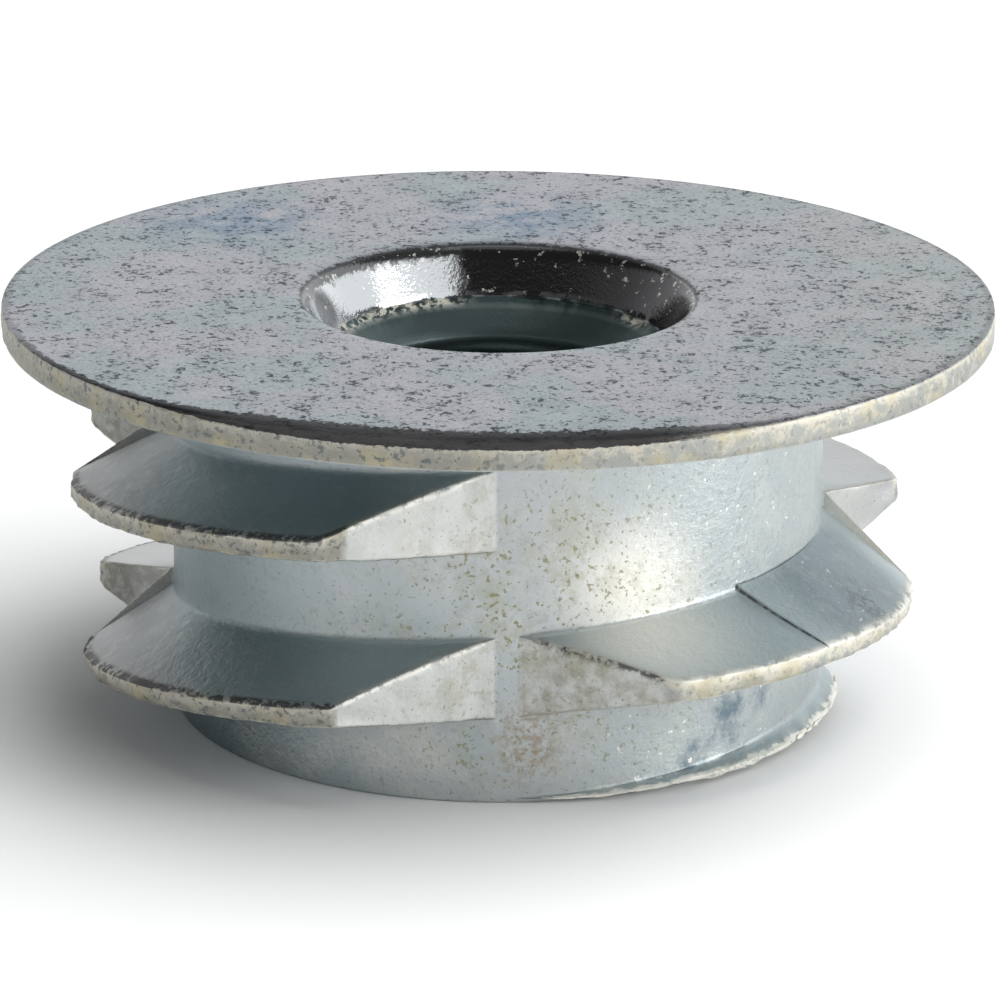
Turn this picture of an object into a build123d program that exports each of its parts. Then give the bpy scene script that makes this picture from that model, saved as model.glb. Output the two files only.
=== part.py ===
from build123d import *
import math
import os

# A flanged wood insert, cast in one piece in zinc alloy. It stands on its foot with the
# flange on top. The origin is the centre of the foot, +Z runs up the bore to the flange,
# and -Y is the side where the four rows of fins leave a narrow gap.

# Driving dimensions, millimetres
total_height = 10.5
flange_diameter = 25.0
flange_thickness = 0.70
flange_edge_round = 0.14
under_flange_round = 0.25
shank_diameter = 16.5
foot_edge_round = 0.12
foot_trim_angle = 30.0

# The bore: an M8 machine thread with a worn, rounded mouth and a steep lead-in above it
thread_minor_diameter = 6.8
mouth_diameter = 9.8
mouth_round = 0.30
lead_in_diameter = 8.5
lead_in_depth = 1.25
foot_chamfer = 0.45

# The fins: one coarse right-hand turn after another, cut apart into quarter turns
fin_pitch = 4.25
fin_root_width = 2.05
land_width = 0.52
fin_bury = 0.60

# Front fins: sloping on top, almost flat underneath
front_top_below_flange_face = 2.0
root_side_drop = 0.36
front_end_angle = 22.0
front_gap = 0.57
front_gap_shift = 0.28
front_side_reach = 92.0

# Rear fins: almost flat on top, sloping underneath
rear_land_below_flange_face = 5.28
rear_land_fall = 0.20
rear_side_rise = 0.96
rear_end_angle = 48.0

# Each front quarter turn: how many pitches it lies below the first one, its diameter, how
# far its land lies below its root, how much further it falls towards the side, and how
# wide its land still is there
left_front_fins = ((0, 21.7, 0.92, 0.80, 0.40), (1, 21.25, 0.92, 1.12, 0.28))
right_front_fins = ((1, 21.3, 0.75, 1.62, 0.24), (2, 21.3, 0.75, 1.62, 0.24))

# Each rear quarter turn: how many pitches it lies below the first one, and its diameter
left_rear_fins = ((0, 21.65), (1, 21.3))
right_rear_fins = ((0, 21.3),)

# Worked out from the sizes above
shank_radius = shank_diameter / 2
flange_radius = flange_diameter / 2
bore_radius = thread_minor_diameter / 2
mouth_radius = mouth_diameter / 2
lead_in_radius = lead_in_diameter / 2
fin_inner_radius = shank_radius - fin_bury
section_step = 15.0
outside = flange_diameter


def body():
    """Flange and shank turned about the bore, with the bore already in the section."""
    underside = total_height - flange_thickness
    lead_in_end = total_height - lead_in_depth
    seat_end = lead_in_end - (lead_in_radius - bore_radius)
    corners = [
        (bore_radius, foot_chamfer),
        (bore_radius + foot_chamfer, 0),
        (shank_radius, 0),
        (shank_radius, underside),
        (flange_radius, underside),
        (flange_radius, total_height),
        (mouth_radius, total_height),
        (lead_in_radius, lead_in_end),
        (bore_radius, seat_end),
    ]
    outline = Polyline(*[(r, 0, z) for r, z in corners], close=True)
    half_section = make_face(outline)
    rounds = {
        corners[2]: foot_edge_round,
        corners[3]: under_flange_round,
        corners[5]: flange_edge_round,
        corners[6]: mouth_round,
    }
    for (r, z), size in rounds.items():
        corner = half_section.vertices().sort_by_distance((r, 0, z))[0]
        half_section = fillet(corner, size)
    return revolve(half_section, Axis.Z)


def section(azimuth, fin_radius, root_top, land_top, land_bottom, root_bottom):
    """One radial slice of a fin. Azimuth 0 is the front, and it grows to the right."""
    out = Vector(math.sin(math.radians(azimuth)), -math.cos(math.radians(azimuth)), 0)
    plane = Plane(origin=(0, 0, 0), x_dir=out, z_dir=out.cross(Vector(0, 0, 1)))
    points = [
        (fin_inner_radius, root_bottom),
        (shank_radius, root_bottom),
        (fin_radius, land_bottom),
        (fin_radius, land_top),
        (shank_radius, root_top),
        (fin_inner_radius, root_top),
    ]
    return plane * make_face(Polyline(*points, close=True))


def line_height(turn_angle, start, side_drop):
    """Height of a helical line: it climbs with the pitch and drops off to the sides."""
    fall = side_drop * (1 - math.cos(math.radians(turn_angle)))
    return start + fin_pitch * turn_angle / 360 - fall


def angles(first, last):
    """Evenly spaced azimuths for the slices of one fin."""
    count = max(2, round(abs(last - first) / section_step))
    return [first + (last - first) * i / count for i in range(count + 1)]


def front_fin(turn, diameter, land_fall, land_drop, side_land_width, side):
    """A quarter turn beside the front gap, on the left (-1) or on the right (+1)."""
    top = total_height - front_top_below_flange_face - turn * fin_pitch
    land_bottom_drop = land_drop - (land_width - side_land_width)
    slices = []
    for azimuth in angles(0, side * front_side_reach):
        slices.append(section(
            azimuth,
            diameter / 2,
            line_height(azimuth, top, root_side_drop),
            line_height(azimuth, top - land_fall, land_drop),
            line_height(azimuth, top - land_fall - land_width, land_bottom_drop),
            line_height(azimuth, top - fin_root_width, root_side_drop),
        ))
    return loft(slices) - front_cut(side)


def rear_fin(turn, diameter, side):
    """A quarter turn beside the rear gap, on the left (-1) or on the right (+1)."""
    land = total_height - rear_land_below_flange_face - turn * fin_pitch
    slices = []
    for azimuth in angles(0, -side * 90):
        land_top = line_height(azimuth, land, -rear_side_rise)
        root_top = land_top + rear_land_fall
        slices.append(section(
            azimuth + 180,
            diameter / 2,
            root_top,
            land_top,
            land_top - land_width,
            root_top - fin_root_width,
        ))
    return loft(slices) - rear_gap_cut(side) - side_cut(side)


def upright(points):
    """An upright prism on a plan outline, taller than the insert."""
    face = make_face(Polyline(*[(x, y, -total_height) for x, y in points], close=True))
    return extrude(face, 3 * total_height, (0, 0, 1))


def front_cut(side):
    """The flat end face that a fin has at the front gap."""
    run = math.radians(front_end_angle)
    start = front_gap_shift + side * front_gap / 2
    reach = outside * math.cos(run)
    return upright([
        (start, -shank_radius),
        (start + side * reach, -shank_radius - outside * math.sin(run)),
        (start + side * reach, -outside),
        (-side * outside, -outside),
        (-side * outside, -shank_radius),
    ])


def rear_gap_cut(side):
    """The same end face at the rear gap."""
    return Rot(0, 0, 180) * front_cut(-side)


def side_cut(side):
    """The slanting end face that a rear fin turns to the side of the insert."""
    run = math.radians(rear_end_angle)
    return upright([
        (side * shank_radius, 0),
        (side * (shank_radius + outside * math.sin(run)), outside * math.cos(run)),
        (side * 2 * outside, 0),
        (side * 2 * outside, -outside),
        (side * shank_radius, -outside),
    ])


def trim_envelope():
    """What fins that run out at the foot are trimmed to: a shallow cone off its edge."""
    rise = (outside - shank_radius) * math.tan(math.radians(foot_trim_angle))
    outline = Polyline(
        (0, 0, 0),
        (shank_radius, 0, 0),
        (outside, 0, rise),
        (outside, 0, total_height),
        (0, 0, total_height),
        close=True,
    )
    return revolve(make_face(outline), Axis.Z)


insert = body()
for shape in left_front_fins:
    insert += front_fin(*shape, side=-1)
for shape in right_front_fins:
    insert += front_fin(*shape, side=1)
for shape in left_rear_fins:
    insert += rear_fin(*shape, side=-1)
for shape in right_rear_fins:
    insert += rear_fin(*shape, side=1)

insert = insert & trim_envelope()

os.makedirs("parts", exist_ok=True)
solid = insert.solids()[0]
solid.label = "insert_body"
export_step(solid, "parts/insert_body.step")
print("solids", len(insert.solids()), "volume mm3", round(solid.volume, 2))
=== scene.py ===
import math
from collections import namedtuple

import bmesh
import bpy
import numpy as np
from mathutils import Matrix, Vector


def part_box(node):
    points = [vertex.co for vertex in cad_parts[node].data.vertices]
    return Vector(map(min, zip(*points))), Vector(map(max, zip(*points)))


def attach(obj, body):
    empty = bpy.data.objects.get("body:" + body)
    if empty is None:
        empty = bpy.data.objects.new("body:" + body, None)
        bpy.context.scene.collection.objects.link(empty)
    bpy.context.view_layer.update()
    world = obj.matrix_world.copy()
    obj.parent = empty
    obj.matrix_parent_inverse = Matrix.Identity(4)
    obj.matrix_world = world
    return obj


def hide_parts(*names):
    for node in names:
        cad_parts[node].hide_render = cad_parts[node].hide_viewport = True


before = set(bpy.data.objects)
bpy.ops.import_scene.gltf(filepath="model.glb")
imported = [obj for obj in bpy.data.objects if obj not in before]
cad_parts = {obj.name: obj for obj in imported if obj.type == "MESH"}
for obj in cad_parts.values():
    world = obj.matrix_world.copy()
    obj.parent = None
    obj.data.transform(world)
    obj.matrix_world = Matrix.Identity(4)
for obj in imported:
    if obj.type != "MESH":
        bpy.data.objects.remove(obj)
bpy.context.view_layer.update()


# The insert's form: one zinc alloy casting from a two-part mould, with the flange on top.
# Its skin is one radial outline that changes round the axis. Azimuth 0 is the front, and
# it grows to the right. Sizes are in metres.
mm = 0.001
total_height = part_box("insert_body")[1][2]
flange_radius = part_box("insert_body")[1][0]
flange_thickness = 0.70 * mm
shank_radius = 8.25 * mm
foot_edge = 0.13 * mm
mouth_radius = 4.9 * mm
lead_in_radius = 4.25 * mm
lead_in_depth = 1.25 * mm
ledge_radius = 4.15 * mm
ledge_lip = 0.05 * mm
crest_radius = 3.4 * mm
foot_chamfer = 0.45 * mm

# The flange's upper edge: how far its rounding reaches down the rim and across the top, and
# the wide flat that wear has left at the front, with its middle and reach in degrees
full_round = 2.0
round_down = 0.13 * mm
round_across = 0.14 * mm
worn_flat = 0.80 * mm
flattening = 0.75
wear_middle = -5
wear_reach = 31

# The fins: one coarse right-hand turn after another, cut apart into quarter turns
fin_pitch = 4.25 * mm
fin_root_width = 2.05 * mm
land_width = 0.52 * mm
front_top = total_height - 2.0 * mm
front_root_drop = 0.36 * mm
front_corner_wear = 0.10 * mm
rear_land = total_height - 5.28 * mm
rear_land_fall = 0.20 * mm
rear_rise = 0.96 * mm
rear_corner_wear = 0.26 * mm
front_end_angle = math.radians(22)
side_end_angle = math.radians(48)
widest_section = math.radians(85)
parting_azimuth = math.radians(91)
gap_edges = {-1: -0.005 * mm, 1: 0.565 * mm}
run_out_slope = math.tan(math.radians(30))

# Front fins by level, from 0 at the foot, and side, -1 left and 1 right: turns below the
# first fin, tip radius, how far the land lies below the root, how much further it falls
# towards the side, and the land's width there
front_fins = {
    (2, -1): (0, 10.85 * mm, 0.92 * mm, 0.80 * mm, 0.40 * mm),
    (1, -1): (1, 10.625 * mm, 0.92 * mm, 1.12 * mm, 0.28 * mm),
    (1, 1): (1, 10.65 * mm, 0.75 * mm, 1.62 * mm, 0.24 * mm),
    (0, 1): (2, 10.65 * mm, 0.75 * mm, 1.62 * mm, 0.24 * mm),
}
# Rear fins by level and side: turns below the first fin, and tip radius
rear_fins = {
    (2, -1): (0, 10.825 * mm),
    (1, -1): (1, 10.65 * mm),
    (1, 1): (0, 10.65 * mm),
}
# Where the outline's points for a missing fin wait on the shank, by level: lowest, highest
waiting = {0: (0.14 * mm, 0.20 * mm), 2: (6.45 * mm, 8.50 * mm)}


def climb(turn_angle, side_drop):
    """Height of a right-hand helical line above its start, with its drop to the sides."""
    return fin_pitch * turn_angle / (2 * math.pi) - side_drop * (1 - math.cos(turn_angle))


def end_plane(turn_angle, start, end_angle):
    """Radius at which a cut plane that leaves the shank crosses this radial section."""
    run = shank_radius * math.cos(end_angle) - start * math.sin(end_angle)
    lean = math.cos(min(turn_angle + end_angle, widest_section))
    return run / lean


def soft_min(a, b, wear):
    """The smaller of two radii, with a worn corner where they cross."""
    return (a + b - math.sqrt((a - b) ** 2 + wear ** 2)) / 2


def fin_corners(level, azimuth):
    """Four corners of one fin's section, from its lower root round its land to the top."""
    side = 1 if azimuth >= 0 else -1
    if abs(azimuth) < parting_azimuth and (level, side) in front_fins:
        turns, tip, land_fall, land_drop, side_land = front_fins[level, side]
        start = front_top - turns * fin_pitch
        top = start + climb(azimuth, front_root_drop)
        bottom = top - fin_root_width
        land_top = start - land_fall + climb(azimuth, land_drop)
        width_lost = (land_width - side_land) * (1 - math.cos(azimuth))
        land_bottom = land_top - land_width + width_lost
        end = end_plane(abs(azimuth), gap_edges[side], front_end_angle)
        corner_wear = front_corner_wear
    elif abs(azimuth) >= parting_azimuth and (level, side) in rear_fins:
        turns, tip = rear_fins[level, side]
        from_back = azimuth - side * math.pi
        land_top = rear_land - turns * fin_pitch + climb(from_back, -rear_rise)
        top = land_top + rear_land_fall
        bottom = top - fin_root_width
        land_bottom = land_top - land_width
        gap_end = end_plane(abs(from_back), gap_edges[-side], front_end_angle)
        side_end = end_plane(abs(azimuth) - math.pi / 2, 0, side_end_angle)
        end = min(gap_end, side_end)
        corner_wear = rear_corner_wear
    else:
        low, high = waiting[level]
        return [(shank_radius, low)] * 2 + [(shank_radius, high)] * 2

    full_height = tip - shank_radius
    top_slope = (land_top - top) / full_height
    bottom_slope = (land_bottom - bottom) / full_height
    reach = max(soft_min(tip, end, corner_wear) - shank_radius, 0)
    if top + top_slope * reach < run_out_slope * reach:
        reach = max(top / (run_out_slope - top_slope), 0)
    tip_low = max(bottom + bottom_slope * reach, run_out_slope * reach)
    low = max(bottom, foot_edge)
    high = max(top, low)
    return [
        (shank_radius, low),
        (shank_radius + reach, max(tip_low, low)),
        (shank_radius + reach, max(top + top_slope * reach, low)),
        (shank_radius, high),
    ]


def front_wear(azimuth):
    """How far the flange's upper edge is worn flat here: 1 at the front, 0 elsewhere."""
    return np.exp(-((np.degrees(azimuth) - wear_middle) / wear_reach) ** 4)


def edge_round(azimuth):
    """The flange's upper edge: its rounding down the rim and across the top, and its bend."""
    wear = front_wear(azimuth)
    return round_down, round_across + worn_flat * wear, full_round - flattening * wear


# One corner of the outline: its place and rounding, the steps round it and from it to the
# next corner, and the zone that starts there
Corner = namedtuple("Corner", "radius height rounding round_steps steps zone")


def outline(azimuth):
    """Corners of the radial section, from the foot up the outside and down the bore."""
    underside = total_height - flange_thickness
    lead_in_end = total_height - lead_in_depth
    seat = lead_in_end - (ledge_radius - crest_radius)
    corners = [
        Corner(crest_radius + foot_chamfer, 0, 0.05 * mm, 1, 5, "foot"),
        Corner(shank_radius, 0, foot_edge * 0.9, 3, 1, "wall"),
    ]
    # Steps along each level's lower flank, land, upper flank and the wall above it
    fin_steps = ((4, 4, 5, 2), (9, 4, 11, 8), (9, 4, 11, 8))
    for level, (low_flank, land, top_flank, wall) in enumerate(fin_steps):
        places = fin_corners(level, azimuth)
        corners += [
            Corner(*places[0], 0.06 * mm, 2, low_flank, "under_flank"),
            Corner(*places[1], 0.10 * mm, 3, land, "land"),
            Corner(*places[2], 0.10 * mm, 3, top_flank, "top_flank"),
            Corner(*places[3], 0.14 * mm, 3, wall, "wall"),
        ]
    corners += [
        Corner(shank_radius, underside, 0.25 * mm, 3, 9, "flange_under"),
        Corner(flange_radius, underside, 0.12 * mm, 3, 5, "rim"),
        Corner(flange_radius, total_height, edge_round(azimuth), 5, 20, "top_face"),
        Corner(mouth_radius, total_height, 0.30 * mm, 5, 7, "lead_in"),
        Corner(lead_in_radius, lead_in_end, 0.05 * mm, 2, 2, "ledge"),
        Corner(ledge_radius, lead_in_end - ledge_lip, 0.04 * mm, 1, 4, "ledge"),
        Corner(crest_radius, seat - ledge_lip, 0.04 * mm, 1, 48, "thread"),
        Corner(crest_radius, foot_chamfer, 0.04 * mm, 1, 3, "foot"),
    ]
    return corners


def rounding_of(corner):
    """A corner's rounding: its reach on the line before and after, and 1 flat to 2 round."""
    rounding = corner.rounding
    return rounding if isinstance(rounding, tuple) else (rounding, rounding, full_round)


def trace(corners):
    """Points along the closed outline, and each point's zone. No rounding takes more than
    the largest share of a line.
    """
    largest_share = 0.45
    points = []
    zones = []
    for i, corner in enumerate(corners):
        previous = corners[i - 1]
        following = corners[(i + 1) % len(corners)]
        before, after, bend = rounding_of(corner)
        here = Vector((corner.radius, corner.height))
        back = Vector((previous.radius, previous.height)) - here
        ahead = Vector((following.radius, following.height)) - here
        back_set = back.normalized() * min(before, largest_share * back.length)
        ahead_set = ahead.normalized() * min(after, largest_share * ahead.length)
        for k in range(corner.round_steps + 1):
            t = k / corner.round_steps
            points.append(here + back_set * (1 - t) ** bend + ahead_set * t ** bend)
            zones.append(previous.zone if t < 0.5 else corner.zone)
        next_reach = min(rounding_of(following)[0], largest_share * ahead.length)
        line_start = here + ahead_set
        line_end = here + ahead - ahead.normalized() * next_reach
        for k in range(1, corner.steps):
            points.append(line_start.lerp(line_end, k / corner.steps))
            zones.append(corner.zone)
    return points, zones


# One column of points a degree, with closer ones where a fin starts, ends or reaches its
# full height, at the parting lines and round the mould step. These azimuths are in degrees.
fin_ends = (0, 3.8, 24.2, 90.2, 101.2, 157.4, -22.4, -23.4, -90.2, -101.2, -101.9, -155.6, -176.2)
close_offsets = (-0.5, -0.2, 0, 0.2, 0.5)
parting_lines = (90.97, 91.03, -90.97, -91.03)
step_columns = np.arange(44.2, 46.0, 0.15)
columns = set(np.arange(-180.0, 180.0))
columns.update(round(fin_end + offset, 3) for fin_end in fin_ends for offset in close_offsets)
columns.update(parting_lines)
columns.update(np.round(step_columns, 3))
columns = sorted(c for c in columns if -180 <= c < 180)

sections = [trace(outline(math.radians(column))) for column in columns]
rings = [points for points, zones in sections]
zone_rows = np.array(sections[-1][1])

# In the rear gap the outline slides down the bare shank by one turn
gap_first = 179.99
gap_last = -176.0
before, _ = trace(outline(math.radians(gap_first)))
after, _ = trace(outline(math.radians(gap_last)))
for i, column in enumerate(columns):
    if column < gap_last:
        share = (column + 180) / (gap_last + 180)
        rings[i] = [a.lerp(b, share) for a, b in zip(before, after)]

column_count = len(columns)
row_count = len(zone_rows)
radius = np.array([[p.x for p in ring] for ring in rings])
height = np.array([[p.y for p in ring] for ring in rings])
turn = np.radians(np.array(columns))[:, None]

# Each row's level of fins, from 1 at the foot
level_starts = (zone_rows == "under_flank") & (np.roll(zone_rows, 1) != "under_flank")
level_rows = np.cumsum(level_starts)


def smooth_ramp(values, low, high):
    """0 below low, 1 above high, and smooth between them."""
    part = np.clip((values - low) / (high - low), 0, 1)
    return part * part * (3 - 2 * part)


# The mould step on the middle fin at the right: the metal beyond a slanting line stands
# proud, with a lump at its root, and fades out before the side
fin_height = 2.4 * mm
step_azimuth = math.radians(45)
step_slant = math.radians(5)
slant_reach = math.radians(14)
step_height = 0.11 * mm
step_loss = 0.75
half_blend = math.radians(0.3)
fade_end = math.radians(84)
fade_width = math.radians(25)
lump_height = 0.07 * mm
lump_width = math.radians(3.5)
lump_fall = 2.2
crease_width = math.radians(0.16)
past_step = turn - step_azimuth
middle_fin = level_rows == 2
outward = np.clip((radius - shank_radius) / fin_height, 0, 1) * middle_fin
beyond = smooth_ramp(past_step, -half_blend, half_blend)
fade = np.clip((fade_end - turn) / fade_width, 0, 1)
lump = np.exp(-np.maximum(past_step, 0) / lump_width) * np.clip(1 - outward * lump_fall, 0, 1)
raised = (step_height * (1 - step_loss * outward ** 2) + lump_height * lump) * beyond * fade
on_fin = (zone_rows == "top_flank") & middle_fin & (turn > 0)
height = height + np.where(on_fin, raised, 0)
crease = np.exp(-np.abs(past_step) / crease_width) * on_fin * (outward > 0.01)
leaning_turn = turn + step_slant * outward * np.exp(-(past_step / slant_reach) ** 2)

verts = np.stack([radius * np.sin(leaning_turn), -radius * np.cos(leaning_turn), height], -1)
verts = verts.reshape(-1, 3)
column_index = np.arange(column_count)[:, None]
row_index = np.arange(row_count)[None, :]
next_column = (column_index + 1) % column_count
next_row = (row_index + 1) % row_count
faces = np.stack([
    column_index * row_count + row_index,
    next_column * row_count + row_index,
    next_column * row_count + next_row,
    column_index * row_count + next_row,
], -1).reshape(-1, 4)

casting = bpy.data.meshes.new("casting")
casting.from_pydata(verts.tolist(), [], faces.tolist())
casting.update()


def mark(name, values):
    """Stores one number a point, for the shaping tree and the finish."""
    layer = casting.attributes.new(name, "FLOAT", "POINT")
    layer.data.foreach_set("value", np.asarray(values, dtype=np.float32).ravel())


def zone_mask(*names):
    """1 on the rows of the named zones, 0 elsewhere, for every column."""
    return np.tile(np.isin(zone_rows, names).astype(float), (column_count, 1))


def fading(distance, reach):
    """1 at an edge, and less with the distance from it."""
    return np.exp(-distance / reach)


# How near each point is to a worn edge, and how far its fin reaches at that azimuth
far_away = 1.0
least_stand = 0.1 * mm
tip_distance = np.full(radius.shape, far_away)
edge_distance = np.full(radius.shape, far_away)
fin_reach = np.zeros(radius.shape)
for level in (1, 2, 3):
    rows = (level_rows == level) & np.isin(zone_rows, ("under_flank", "land", "top_flank"))
    reach = radius[:, rows].max(1, keepdims=True)
    stands = reach - shank_radius > least_stand
    tip_distance[:, rows] = np.where(stands, reach - radius[:, rows], far_away)
    land_rows = rows & (zone_rows == "land")
    upper_corner = height[:, np.flatnonzero(land_rows)[-1]][:, None]
    edge_distance[:, rows] = tip_distance[:, rows]
    edge_distance[:, land_rows] = np.where(stands, upper_corner - height[:, land_rows], far_away)
    fin_reach[:, rows] = reach

# A fin is whole from this radius on, and short of it lies a cut end face. The lowest fin
# runs out at the foot, so almost all of it counts as whole.
whole_radius = 10.45 * mm
lowest_whole_radius = 8.4 * mm
whole = (fin_reach > whole_radius) | (fin_reach * (level_rows == 1) > lowest_whole_radius)
wall_margin = 0.02 * mm
ledge_margin = 0.06 * mm
off_wall = radius > shank_radius + wall_margin
on_ledge = radius > ledge_radius - ledge_margin
below_top = total_height - height
above_land = zone_rows != "under_flank"
worn_edge = fading(tip_distance, 0.10 * mm)
rim_crest = fading(below_top, 0.28 * mm) * zone_mask("rim")
mark("worn_edge", worn_edge)
mark("crest", np.maximum(fading(edge_distance, 0.22 * mm), rim_crest))
mark("lip", worn_edge * (zone_rows == "top_flank") * whole)
mark("burr", fading(edge_distance, 0.35 * mm) * (level_rows == 1) * above_land)
mark("cut_face", zone_mask("land") * ~whole * off_wall)
mark("land", zone_mask("land") * whole)
mark("rim", zone_mask("rim"))
mark("mouth", fading(np.abs(radius - mouth_radius), 0.20 * mm) * zone_mask("top_face", "lead_in"))
mark("top_face", zone_mask("top_face"))
mark("lead_in", zone_mask("lead_in"))
mark("ledge", zone_mask("ledge") * on_ledge)
mark("bore_wall", zone_mask("ledge", "thread") * ~on_ledge)
mark("crease", crease)
mark("thread", zone_mask("thread"))
mark("flank", zone_mask("top_flank") * off_wall)

# Where the stains, the wear and the painted highlights, light and shade gather, as smooth
# fields over the surface. Places are in millimetres: to the right of the axis, behind it and
# above the foot.
to_right_mm = verts[:, 0].reshape(radius.shape) / mm
behind_mm = verts[:, 1].reshape(radius.shape) / mm


def near(x, y, z, reach):
    """1 at a place, falling to 0 at reach, all in millimetres."""
    away = np.sqrt((to_right_mm - x) ** 2 + (behind_mm - y) ** 2 + (height / mm - z) ** 2)
    return 1 - smooth_ramp(away / reach, 0, 1)


on_top = zone_mask("top_face")
on_flank = zone_mask("top_flank") * off_wall
on_side = 1 - zone_mask("top_face", "lead_in", "ledge", "thread")
off_flank = on_side * (1 - on_flank)
at_front = 1 - smooth_ramp(behind_mm, -1, 2)
at_right = smooth_ramp(to_right_mm, -1.5, 1.5)

# Blue bloom on the top; a painted highlight at the right fin's root and on the shank beside it,
# painted shade at the left and on the flank under the flange, painted light on the left flanks,
# and the slate part of the right flank
mark("blue", np.maximum(near(-7.0, 6.9, 10.5, 3.6), near(0.6, 7.4, 10.5, 3.4)) * on_top)
mark("painted_flank_highlight", near(3.8, -8.0, 4.7, 3.6) * on_flank)
mark("painted_highlight", near(3.3, -7.6, 5.3, 2.6) * off_flank)
left_shade = (1 - smooth_ramp(to_right_mm, -7.5, -4.0)) * at_front * 0.85 * (1 - on_flank)
flank_shade = near(-2.8, -9.2, 7.9, 3.4) * 0.75 * on_flank
mark("shade", np.maximum(left_shade, flank_shade) * on_side)
painted_flank_light = np.maximum(near(-6.8, -6.4, 7.9, 3.0) * 0.8, near(-3.5, -8.6, 3.6, 4.5))
mark("painted_flank_light", painted_flank_light * on_flank)
mark("slate", smooth_ramp(near(9.2, -3.6, 4.8, 4.6), 0.1, 0.6) * 0.75 * on_flank)

# Olive specks, rust, the ink stain at the foot, painted glint dots, and rough grit
mark("front", near(0.8, -8.6, 4.4, 9.0) * off_flank)
mark("rusty", near(0.8, -8.2, 1.6, 1.4) * on_side)
ink_spots = np.maximum(near(4.9, -6.7, 0.80, 1.0), near(5.8, -6.0, 1.25, 1.2))
mark("stain", np.maximum(ink_spots, near(6.7, -5.1, 1.7, 1.1) * 0.8) * on_side)
sparkling = near(5.8, -5.9, 7.0, 4.5)
painted_glint_dots = np.maximum(sparkling, np.maximum(near(5.2, -6.8, 1.4, 4.2), near(8.8, -4.6, 4.6, 2.6)))
mark("painted_glint_dots", smooth_ramp(painted_glint_dots, 0.1, 0.5) * on_side)
grit = 0.7 + sparkling * 1.2 + near(-6.2, -6.0, 1.0, 3.4) * 2.0 + on_flank * 0.5
mark("grit", grit * on_side)

# Soot on the right fin and in the bore, and the crust on the ledge
mark("soot", near(9.6, -4.1, 4.2, 1.8) * on_side)
mark("smudge", smooth_ramp(near(-4.35, 1.0, 9.8, 1.1), 0.2, 0.6) * 0.8)
ledge_crust = np.maximum(1 - smooth_ramp(to_right_mm, -1.4, -0.4), near(3.45, 2.3, 9.25, 1.0))
mark("ledge_crust", ledge_crust * zone_mask("ledge") * on_ledge)

# The brow round the flange's upper edge, painted black as a dark reflection of its worn
# rounding: wide on the worn flat, narrow down the rim, where each step counts more, and
# fainter away from the front
brow_least = 0.17 * mm
brow_down = 6.5
brow_width = brow_least + worn_flat * front_wear(turn)
from_corner = np.maximum(flange_radius - radius, below_top * brow_down)
mark("brow", np.clip(1.5 - from_corner / brow_width, 0, 1))
mark("brow_share", smooth_ramp(near(-4.5, -11.5, 10.4, 13.0), 0, 0.35) * 0.70 + 0.3)

# The upper edges of the cut end faces: scorched on the right, and painted glints on the left
cut_lip = fading(edge_distance, 0.11 * mm) * ~whole * above_land
at_lower_right = smooth_ramp(near(4.0, -9.5, 3.6, 5.0), 0, 0.4)
mark("dark_cut", cut_lip * at_right * at_lower_right)
mark("painted_cut_glints", cut_lip * (1 - at_right) * at_front)

insert = bpy.data.objects.new("insert", casting)
bpy.context.scene.collection.objects.link(insert)


# The machine thread and the cast skin: a tap has cut the thread through the bore, and the
# lands and rims have lost metal in the tumbling drum. Both follow a rule over the surface.
shaping_sizes = {
    "Thread pitch": 1.25 * mm,
    "Thread depth": 0.58 * mm,
    "Thread foot": foot_chamfer,
    "Thread top": total_height - 2.15 * mm,
    "Lower run-in": 0.5 * mm,
    "Upper run-out": 0.9 * mm,
    "Edge wear": 0.12 * mm,
    "Rim wear": 0.05 * mm,
    "Burr": 0.13 * mm,
    "Skin grain": 0.010 * mm,
    "Spared foot": 0.25 * mm,
}


class Signal:
    """A socket that takes part in plain arithmetic, each sign adding its Math node."""

    def __init__(self, tree, socket):
        self.tree = tree
        self.socket = socket

    def math(self, operation, *others):
        return self.tree.node("ShaderNodeMath", {"operation": operation}, [self, *others])

    def __add__(self, other):
        return self.math("ADD", other)

    def __sub__(self, other):
        return self.math("SUBTRACT", other)

    def __mul__(self, other):
        return self.math("MULTIPLY", other)

    def __truediv__(self, other):
        return self.math("DIVIDE", other)

    def __pow__(self, other):
        return self.math("POWER", other)

    def __rsub__(self, other):
        return self.tree.node("ShaderNodeMath", {"operation": "SUBTRACT"}, [other, self])

    __radd__ = __add__
    __rmul__ = __mul__

    def ramp(self, low, high):
        """0 below low, 1 above high, and smooth between them."""
        settings = {"interpolation_type": "SMOOTHSTEP"}
        return self.tree.node("ShaderNodeMapRange", settings, {0: self, 1: low, 2: high})


class Tree:
    """A node tree that is written as expressions."""

    def __init__(self, node_tree):
        self.node_tree = node_tree

    def node(self, kind, settings=None, values=(), output=0):
        """Adds one node: its settings first, then its sockets by name or number."""
        added = self.node_tree.nodes.new(kind)
        for name, setting in (settings or {}).items():
            setattr(added, name, setting)
        pairs = values.items() if isinstance(values, dict) else enumerate(values)
        for key, value in pairs:
            if isinstance(value, Signal):
                self.node_tree.links.new(value.socket, added.inputs[key])
            else:
                added.inputs[key].default_value = value
        return Signal(self, added.outputs[output])


shaping = bpy.data.node_groups.new("Tapped thread and worn skin", "GeometryNodeTree")
shaping.interface.new_socket("Geometry", in_out="INPUT", socket_type="NodeSocketGeometry")
for name, size in shaping_sizes.items():
    socket = shaping.interface.new_socket(name, in_out="INPUT", socket_type="NodeSocketFloat")
    socket.default_value = size
shaping.interface.new_socket("Finish", in_out="INPUT", socket_type="NodeSocketMaterial")
shaping.interface.new_socket("Geometry", in_out="OUTPUT", socket_type="NodeSocketGeometry")
tree = Tree(shaping)
group_in = shaping.nodes.new("NodeGroupInput")
size_of = {s.name: Signal(tree, s) for s in group_in.outputs if s.name}


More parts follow.
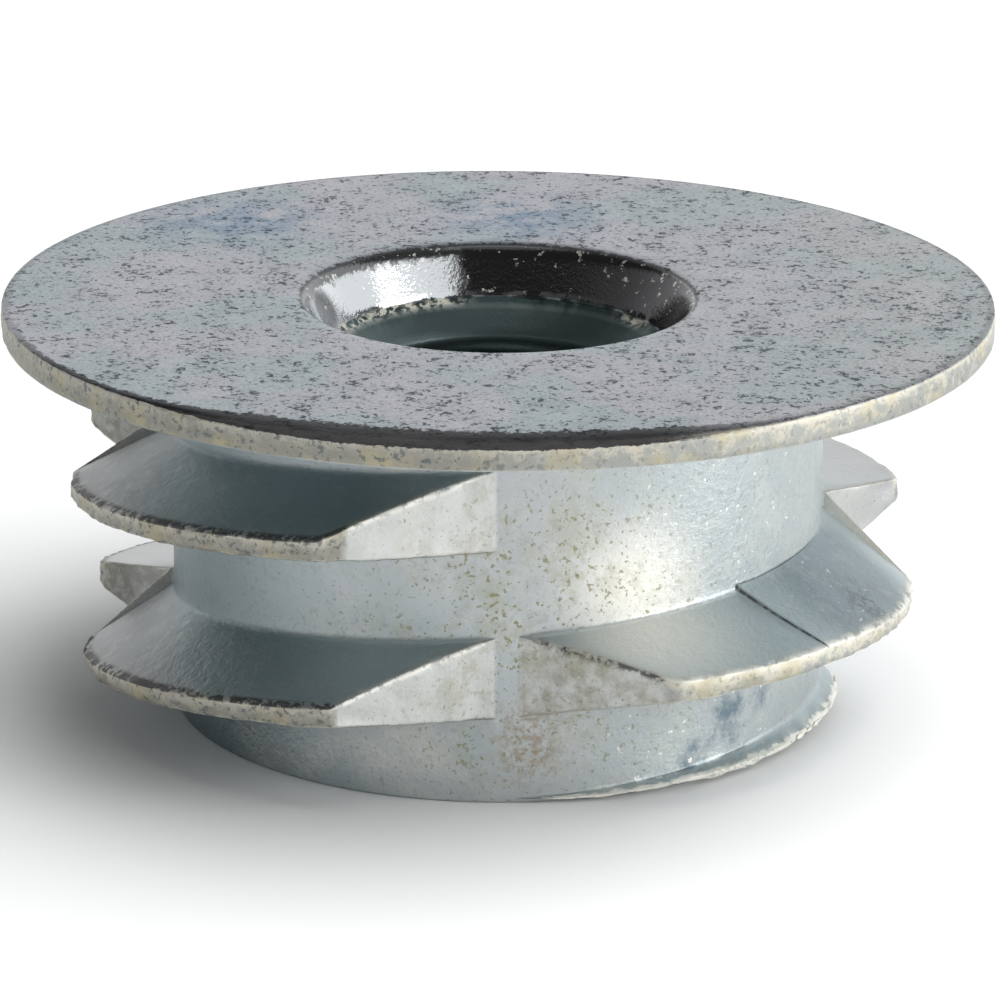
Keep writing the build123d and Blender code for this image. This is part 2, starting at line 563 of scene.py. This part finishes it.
def attribute(name):
    """A number stored on the casting's points."""
    return tree.node("GeometryNodeInputNamedAttribute", {"data_type": "FLOAT"}, {"Name": name})


# The thread: a wave up the bore, with flat crests and flat roots, that turns with the azimuth
crest_flat = 0.10
flank_share = 0.78
position = tree.node("GeometryNodeInputPosition")
split = tree.node("ShaderNodeSeparateXYZ", None, [position])
x, y, z = (Signal(tree, split.socket.node.outputs[k]) for k in range(3))
distance = (x * x + y * y) ** 0.5
phase = z / size_of["Thread pitch"] - y.math("ARCTAN2", x) / (2 * math.pi)
wave = (phase.math("FRACT") - 0.5).math("ABSOLUTE") * 2
fade_in = ((z - size_of["Thread foot"]) / size_of["Lower run-in"]).ramp(0, 1)
fade_out = ((size_of["Thread top"] - z) / size_of["Upper run-out"]).ramp(0, 1)
cut = ((wave - crest_flat) / flank_share).math("MINIMUM", 1.0).math("MAXIMUM", 0.0)
groove = cut * size_of["Thread depth"] * attribute("thread") * fade_in * fade_out
off_axis = tree.node("ShaderNodeCombineXYZ", None, [x / distance, y / distance, 0.0])
threaded = tree.node("ShaderNodeVectorMath", {"operation": "SCALE"}, {0: off_axis, "Scale": groove})


def grain(cells_per_mm, detail=2.0):
    """Noise over the casting, about -1 to 1, with this many cells a millimetre."""
    values = {"Vector": position, "Scale": cells_per_mm / mm, "Detail": detail}
    return (tree.node("ShaderNodeTexNoise", None, values) - 0.5) * 2


# The skin: metal lost from worn edges and the rim, lumps on the lowest fin's burr, and a
# fine grain where the casting isn't machined. All but the rim's wear spares the foot.
foot_guard = (z / size_of["Spared foot"]).ramp(0, 1)
wear = attribute("worn_edge").math("MAXIMUM", attribute("land")).math("MAXIMUM", attribute("ledge"))
uneven = (grain(2.1, detail=3.0) + grain(0.7) * 0.9 + 0.25).math("MAXIMUM", -0.5)
loss = uneven * size_of["Edge wear"] * wear
uneven_rim = (grain(1.3, detail=4.0) + 0.4).math("MAXIMUM", 0.0)
rim_loss = uneven_rim * size_of["Rim wear"] * attribute("rim")
lumps = (grain(1.6) + 0.35).math("MAXIMUM", 0.0) * size_of["Burr"] * attribute("burr")
skin = grain(3.0) * size_of["Skin grain"]
machined = attribute("top_face") + attribute("rim") + attribute("thread") + attribute("lead_in")
depth = (loss + skin * (1 - machined.math("MINIMUM", 1.0)) - lumps) * foot_guard + rim_loss
normal = tree.node("GeometryNodeInputNormal")
worn = tree.node("ShaderNodeVectorMath", {"operation": "SCALE"}, {0: normal, "Scale": depth * -1.0})
offset = tree.node("ShaderNodeVectorMath", {"operation": "ADD"}, [threaded, worn])
moves = {"Geometry": size_of["Geometry"], "Offset": offset}
moved = tree.node("GeometryNodeSetPosition", None, moves)
plain = tree.node("GeometryNodeRealizeInstances", None, [moved])
covers = {"Geometry": plain, "Material": size_of["Finish"]}
finished = tree.node("GeometryNodeSetMaterial", None, covers)
group_out = shaping.nodes.new("NodeGroupOutput")
shaping.links.new(finished.socket, group_out.inputs[0])


# The finish: bare zinc alloy, dulled by handling, stained, and rubbed bright on its edges.
# Colours are written as they look in plain light, except where light and shade are painted
# in: highlights, glints, dark reflections and shade, each marked below. All patterns read
# the part's own coordinates in millimetres, or the zones and fields stored on its points.
zinc = bpy.data.materials.new("Cast zinc")
zinc.use_nodes = True
zinc.node_tree.nodes.clear()
paint = Tree(zinc.node_tree)
object_place = paint.node("ShaderNodeTexCoord", None, (), "Object")
place = paint.node("ShaderNodeVectorMath", {"operation": "SCALE"}, {0: object_place, "Scale": 1 / mm})


def zone(name):
    """A number stored on the casting's points, as the finish reads it."""
    return paint.node("ShaderNodeAttribute", {"attribute_name": name}, (), "Fac")


def noise(cells_per_mm, detail, roughness, shift):
    """Noise from 0 to 1 with this many cells a millimetre, read at a place of its own."""
    own_place = paint.node("ShaderNodeMapping", None, {"Vector": place, "Location": (shift,) * 3})
    values = {"Vector": own_place, "Scale": cells_per_mm, "Detail": detail, "Roughness": roughness}
    return paint.node("ShaderNodeTexNoise", None, values)


def blend(amount, first, second):
    """Colour first, going over to colour second by amount."""
    settings = {"data_type": "RGBA", "clamp_factor": True}
    colours = [c if isinstance(c, Signal) else (*c, 1.0) for c in (first, second)]
    return paint.node("ShaderNodeMix", settings, {0: amount, 6: colours[0], 7: colours[1]}, 2)


# Colours of the skin, the flanks, the worn edges, the burnt places, the bore and the marks,
# and of painted light, shade and dark reflections
plain_zinc = (0.53, 0.555, 0.56)
white_film_and_light = (0.67, 0.68, 0.65)
rear_film = (0.74, 0.75, 0.745)
shadow_teal = (0.36, 0.42, 0.43)
lilac = (0.65, 0.645, 0.69)
pale_teal = (0.56, 0.63, 0.65)
soft_blue = (0.35, 0.47, 0.61)
light_flank = (0.52, 0.60, 0.62)
left_shade_teal = (0.33, 0.41, 0.43)
slate = (0.26, 0.32, 0.35)
deep_slate = (0.17, 0.22, 0.235)
dull_grey = (0.34, 0.335, 0.335)
shaded_zinc = (0.38, 0.39, 0.39)
worn_grey = (0.40, 0.385, 0.34)
grime_and_shade = (0.25, 0.24, 0.20)
amber = (0.52, 0.46, 0.26)
cream = (0.71, 0.68, 0.575)
bright_metal_and_highlight = (0.92, 0.91, 0.84)
pit_grey = (0.10, 0.13, 0.15)
soot_shadow_and_reflection_black = (0.065, 0.062, 0.066)
dark_reflection_black = (0.03, 0.028, 0.032)
bore_green = (0.09, 0.135, 0.135)
mirror_zinc = (0.80, 0.83, 0.85)
olive = (0.25, 0.235, 0.09)
rust = (0.28, 0.18, 0.075)
ink_blue = (0.09, 0.15, 0.20)

top = zone("top_face")
cut_face = zone("cut_face")
rim = zone("rim")
lead_in = zone("lead_in")
bore_wall = zone("bore_wall")
flank = zone("flank")
lip = zone("lip")
mouth = zone("mouth")
place_split = paint.node("ShaderNodeSeparateXYZ", None, [place])
rightward, backward = (Signal(paint, place_split.socket.node.outputs[k]) for k in range(2))
to_left = 1 - rightward.ramp(-1.5, 1.5)
rear = backward.ramp(-1.0, 2.0)
to_right_front = (1 - to_left) * (1 - rear)
plain_side = (1 - top) * (1 - lead_in) * (1 - bore_wall)
bare_wall = plain_side * (1 - flank)

# Six patterns, from clouds of three millimetres to grain of a tenth, that all stains share
haze = noise(0.30, detail=2.0, roughness=0.5, shift=0.0)
cloud = noise(0.9, detail=3.0, roughness=0.6, shift=3.0)
patch = noise(2.2, detail=4.0, roughness=0.7, shift=4.0)
fleck = noise(4.4, detail=3.0, roughness=0.7, shift=18.0)
speck = noise(7.0, detail=2.0, roughness=0.6, shift=11.0)
fine_grain = noise(10.5, detail=2.0, roughness=0.6, shift=19.0)

# Cloudy stains: lilac and teal on top, white film on the shank, teal on the sloping flanks,
# with painted light, highlights and shade laid over them
top_tone = blend(haze.ramp(0.42, 0.60), lilac, pale_teal)
# Painted light: the top lighter towards the right
top_tone = blend(rightward.ramp(2.0, 10.0) * 0.35, top_tone, white_film_and_light)
top_tone = blend(zone("blue") * cloud.ramp(0.34, 0.58), top_tone, soft_blue)
side_tone = blend(cloud.ramp(0.40, 0.66) * 0.7, plain_zinc, white_film_and_light)
# Painted shade: the shank darker towards the right, and in patches at the left
side_tone = blend(rightward.ramp(-2.0, 5.0) * 0.5, side_tone, shadow_teal)
side_tone = blend(to_left * haze.ramp(0.30, 0.60) * 0.5, side_tone, left_shade_teal)
# Painted highlight on the shank beside the right fin's root
side_tone = blend(zone("painted_highlight"), side_tone, bright_metal_and_highlight)
# Painted shade on the left flanks
flank_tone = blend(to_left * 0.85, light_flank, left_shade_teal)
flank_tone = blend((1 - rightward.ramp(-9.5, -5.5)) * 0.8, flank_tone, dull_grey)
flank_tone = blend(zone("slate"), flank_tone, slate)
# Painted light on parts of the left flanks
flank_tone = blend(zone("painted_flank_light") * 0.75, flank_tone, light_flank)
flank_tone = blend(patch.ramp(0.50, 0.66) * 0.2, flank_tone, white_film_and_light)
# Painted highlight on the right fin's flank at its root
flank_tone = blend(zone("painted_flank_highlight") * 0.9, flank_tone, bright_metal_and_highlight)
flank_tone = blend(rear, flank_tone, rear_film)
colour = blend(top, side_tone, top_tone)
colour = blend(flank, colour, flank_tone)
# Painted shade at the left of the side and on the flank under the flange
colour = blend(zone("shade"), colour, deep_slate)

# The cut end faces: white at the left, worn to grey at the right, darker behind as painted
# shade, and mottled dark at the back left, partly grime and partly painted shade
colour = blend(cut_face * 0.75, colour, white_film_and_light)
# Painted shade on the rear end faces
colour = blend(cut_face * rear * 0.8, colour, shaded_zinc)
colour = blend(cut_face * rear * to_left * patch.ramp(0.30, 0.62), colour, grime_and_shade)
colour = blend(cut_face * to_right_front * patch.ramp(0.30, 0.80), colour, worn_grey)

# A fine mottle, and pits in the skin: crowded in some places, and mostly on top
mottle = fine_grain.ramp(0.35, 0.70) * 0.22
colour = blend(mottle * (top * 0.8 + 0.2), colour, pit_grey)
crowding = cloud.ramp(0.36, 0.64) * 0.06
deep_pits = (fleck + crowding + (fine_grain - 0.5) * 0.12).ramp(0.61, 0.67)
pits = deep_pits.math("MAXIMUM", (speck + crowding).ramp(0.64, 0.70) * 0.8)
pits = pits * (top + bare_wall * 0.15) * (1 - cut_face * 0.6)
colour = blend(pits * 0.85, colour, pit_grey)

# Olive film and specks on the shank and the end faces, thickest at the front, with dark
# grains between them, rust at the foot of the gap, and an ink stain on the foot's edge
front = zone("front")
specks = (speck + front * cloud * 0.13).ramp(0.65, 0.72)
specks = specks * bare_wall * (front * 0.9 + 0.1) * (1 - cut_face * 0.5)
film = front.ramp(0.25, 0.9) * (cloud * 0.5 + patch * 0.5).ramp(0.46, 0.60)
colour = blend(film * 0.24, colour, olive)
colour = blend(specks * 0.8, colour, olive)
colour = blend((1 - fine_grain).ramp(0.66, 0.72) * bare_wall * 0.5, colour, pit_grey)
rusty = zone("rusty") * fleck.ramp(0.42, 0.60)
colour = blend(rusty * 0.8, colour, rust)
ink = zone("stain")
ink = (ink * 1.15 + (patch - 0.5) * 1.8 * ink.ramp(0.0, 0.3)).ramp(0.30, 1.10)
colour = blend(ink * 0.8, colour, ink_blue)

# Wear: lands and rim are rubbed down to grey, with cream crusts along their crests, grime
# below them and a bright burr on the lowest fin. At the left they are darker, with less
# cream, as painted shade.
rubbed = (zone("worn_edge") + zone("land") + rim).math("MINIMUM", 1.0) * (1 - cut_face)
crest = zone("crest")
crust = rubbed * (patch * 0.6 + fleck * 0.4 + crest * 0.22).ramp(0.52, 0.66)
crust = crust.math("MAXIMUM", zone("ledge_crust") * fleck.ramp(0.42, 0.54))
# Painted shade: worn grey, grime and black specks stronger at the left, cream weaker
colour = blend(rubbed * (to_left * 0.35 + 0.40), colour, worn_grey)
colour = blend(zone("ledge"), colour, bore_green)
colour = blend(crust * (0.9 - to_left * 0.2), colour, cream)
colour = blend(rubbed * (1 - crest) * (to_left * 0.40 + 0.42), colour, grime_and_shade)
colour = blend(rubbed * cloud.ramp(0.50, 0.66) * 0.4, colour, amber)
burr = (zone("burr") + (patch - 0.5) * 0.9).ramp(0.64, 0.78) * to_right_front
colour = blend(burr * 0.85, colour, bright_metal_and_highlight)
black_specks = rubbed * (speck * 0.5 + fleck * 0.5).ramp(0.53, 0.60) * (to_left * 0.35 + 0.35)
colour = blend(black_specks, colour, pit_grey)

# Painted glints, glint dots and lip highlights, then scorched lips, a painted shadow in the
# mould step's crease, soot, and the brow, painted black as a dark reflection
# Painted glints and highlights on the end faces' edges, dots and the right-hand lips
painted_glints = zone("painted_cut_glints").ramp(0.35, 0.75) * fleck.ramp(0.40, 0.52)
painted_glints = painted_glints.math("MAXIMUM", zone("painted_glint_dots") * (1 - fleck).ramp(0.64, 0.71))
painted_lip_highlight = lip.ramp(0.15, 0.50) * (1 - to_left) * patch.ramp(0.42, 0.54)
colour = blend(painted_glints.math("MAXIMUM", painted_lip_highlight * 0.85), colour, bright_metal_and_highlight)
dark_lip = lip.ramp(0.06, 0.30) * to_left * (fleck * 0.6 + cloud * 0.4).ramp(0.44, 0.52)
dark_lip = dark_lip.math("MAXIMUM", zone("dark_cut").ramp(0.30, 0.70) * fleck.ramp(0.40, 0.56))
# Painted shadow along the mould step's crease
painted_crease_shadow = zone("crease").ramp(0.30, 0.75) * (0.55 + fleck.ramp(0.40, 0.55) * 0.45)
dark_lip = dark_lip.math("MAXIMUM", painted_crease_shadow)
dark_lip = dark_lip.math("MAXIMUM", zone("soot") * patch.ramp(0.46, 0.60) * 0.8)
colour = blend(dark_lip * 0.88, colour, soot_shadow_and_reflection_black)
# The brow is painted black as a dark reflection of the flange's rounded edge
brow = (zone("brow") + (fleck - 0.5) * 1.1).ramp(0.40, 0.56) * zone("brow_share")
colour = blend(brow * 0.95, colour, dark_reflection_black)

# The bore: a mirror-bright lead-in, painted black on its right and round the mouth as a dark
# reflection, with a dark smudge, and glints painted in as bright nicks
colour = blend(bore_wall * 0.9, colour, bore_green)
colour = blend(lead_in * 0.9, colour, mirror_zinc)
# Painted dark reflection on the lead-in's right and round the mouth
dark_reflection_and_smudge = lead_in * (rightward + cloud * 1.6).ramp(-0.55, -0.05)
dark_reflection_and_smudge = dark_reflection_and_smudge.math("MAXIMUM", zone("smudge"))
dark_reflection_and_smudge = dark_reflection_and_smudge.math("MAXIMUM", (mouth + (fleck - 0.5) * 0.9).ramp(0.40, 0.62) * 0.85)
colour = blend(dark_reflection_and_smudge * 0.95, colour, soot_shadow_and_reflection_black)
# Painted glints on the lead-in
lead_in_glints = lead_in * (1 - fleck + mouth * 0.07).ramp(0.65, 0.70)
colour = blend(lead_in_glints, colour, bright_metal_and_highlight)

# Fine relief, and where the metal is dull, polished or hidden under crust, rust and specks,
# or made matt under painted glints and highlights
relief = fine_grain * 0.4 + fleck * zone("grit")
relief_height = 0.04 * mm
bumps = {"Strength": 0.5, "Distance": relief_height, "Height": relief}
bump = paint.node("ShaderNodeBump", None, bumps)
roughness = 0.38 + cloud * 0.14 + pits * 0.2 + crust * 0.1
roughness = roughness * (1 - lead_in * 0.82) + lead_in_glints * 0.4
metal = 0.92 - crust * 0.45 - cut_face * 0.3 - rusty * 0.5 - specks * 0.4
metal = metal - painted_glints * 0.35 - zone("painted_flank_highlight") * 0.6 - burr * 0.4
shader = paint.node("ShaderNodeBsdfPrincipled", None, {
    "Base Color": colour,
    "Metallic": metal,
    "Roughness": roughness,
    "Normal": bump,
})
output = zinc.node_tree.nodes.new("ShaderNodeOutputMaterial")
zinc.node_tree.links.new(shader.socket, output.inputs["Surface"])

modifier = insert.modifiers.new("Tapped thread and worn skin", "NODES")
modifier.node_group = shaping
for item in shaping.interface.items_tree:
    if item.in_out == "INPUT" and item.name in shaping_sizes:
        modifier[item.identifier] = shaping_sizes[item.name]
    if item.in_out == "INPUT" and item.name == "Finish":
        modifier[item.identifier] = zinc
depsgraph = bpy.context.evaluated_depsgraph_get()
shaped = bpy.data.meshes.new_from_object(insert.evaluated_get(depsgraph))
insert.modifiers.clear()
insert.data = shaped
shaped.materials.clear()
shaped.materials.append(zinc)

# Points that wait on the shank or meet at a corner are merged
merge_distance = 0.002 * mm
sharp_angle = math.radians(38)
work = bmesh.new()
work.from_mesh(shaped)
bmesh.ops.remove_doubles(work, verts=work.verts, dist=merge_distance)
bmesh.ops.recalc_face_normals(work, faces=work.faces)
work.to_mesh(shaped)
work.free()
shaped.shade_smooth()
shaped.set_sharp_from_angle(angle=sharp_angle)

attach(insert, "root")
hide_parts("insert_body")


# The floor: a plain, pale and matt sheet that the insert stands on. It lies at the height of
# the foot and runs out by a metre on all sides.
half_floor = 1.0
floor_grey = (0.93, 0.93, 0.93, 1)
floor_signs = ((-1, -1), (1, -1), (1, 1), (-1, 1))
floor_corners = [(side * half_floor, end * half_floor, 0) for side, end in floor_signs]
floor_mesh = bpy.data.meshes.new("floor")
floor_mesh.from_pydata(floor_corners, [], [(0, 1, 2, 3)])
floor = bpy.data.objects.new("floor", floor_mesh)
bpy.context.scene.collection.objects.link(floor)
sheet = bpy.data.materials.new("Pale floor")
sheet.use_nodes = True
sheet_shader = sheet.node_tree.nodes["Principled BSDF"]
sheet_shader.inputs["Base Color"].default_value = floor_grey
sheet_shader.inputs["Roughness"].default_value = 0.9
floor_mesh.materials.append(sheet)


# The light: a studio with pale walls, dimmer at the left, and a dark ceiling that is lit
# straight overhead. A tall white screen stands on the right, with a small soft box low on the
# same side, and a sheet of light hangs over the floor. The camera sees the room as white.
daylight = (0.98, 0.99, 1.0, 1)
wall_level = 0.48
back_wall_gain = 0.50
left_wall_loss = 0.20
screen_level = 0.82
overhead_level = 0.55
least_level = 0.05
world = bpy.data.worlds.new("Room")
bpy.context.scene.world = world
world.use_nodes = True
world.node_tree.nodes.clear()
room = Tree(world.node_tree)
rays = room.node("ShaderNodeLightPath")
camera_ray = Signal(room, rays.socket.node.outputs["Is Camera Ray"])
direction = room.node("ShaderNodeTexCoord", None, (), "Generated")
room_split = room.node("ShaderNodeSeparateXYZ", None, [direction])
to_right, to_back, to_top = (Signal(room, room_split.socket.node.outputs[k]) for k in range(3))
back_wall = to_back.ramp(-0.1, 0.8) * back_wall_gain
left_wall = (to_right * -1.0).ramp(0.3, 0.8) * left_wall_loss
walls = (1 - to_top.ramp(0.42, 0.62)) * (wall_level + back_wall - left_wall)
screen = to_right.ramp(0.36, 0.48) * (1 - to_top.ramp(0.62, 0.72)) * screen_level
overhead = to_top.ramp(0.92, 0.985) * overhead_level
room_level = walls.math("MAXIMUM", screen).math("MAXIMUM", overhead) + least_level
seen_level = room_level + camera_ray * (1 - room_level)
world_light = room.node("ShaderNodeBackground", None, {"Color": daylight, "Strength": seen_level})
world_out = world.node_tree.nodes.new("ShaderNodeOutputWorld")
world.node_tree.links.new(world_light.socket, world_out.inputs["Surface"])


def lamp(name, place, size, power, in_reflections):
    """A square soft box that faces the insert."""
    light = bpy.data.lights.new(name, "AREA")
    light.size = size
    light.energy = power
    box = bpy.data.objects.new(name, light)
    bpy.context.scene.collection.objects.link(box)
    box.location = place
    aim = Vector((0, 0, total_height / 2)) - Vector(place)
    box.rotation_euler = aim.to_track_quat("-Z", "Y").to_euler()
    box.visible_glossy = in_reflections


lamp("Low soft box", (0.17, -0.06, 0.05), size=0.10, power=0.13, in_reflections=True)
lamp("Overhead sheet", (0.08, 0.01, 0.26), size=0.28, power=0.88, in_reflections=False)


# The camera: a long lens that looks down on the insert at the photo's angle, from the front.
# It is rolled by a third of a degree.
camera_roll = 0.0061
camera_place = Vector((0, -131.10 * mm, 47.86 * mm))
camera_aim = Vector((0.07 * mm, 0, 5.07 * mm))
lens = bpy.data.cameras.new("Camera")
lens.lens = 194.72
lens.sensor_width = 36
lens.clip_start = 0.01
lens.clip_end = 10
camera = bpy.data.objects.new("Camera", lens)
bpy.context.scene.collection.objects.link(camera)
facing = (camera_aim - camera_place).to_track_quat("-Z", "Y").to_matrix().to_4x4()
rolled = Matrix.Rotation(camera_roll, 4, "Z")
camera.matrix_world = Matrix.Translation(camera_place) @ facing @ rolled
bpy.context.scene.camera = camera
bpy.context.scene.view_settings.view_transform = "Standard"
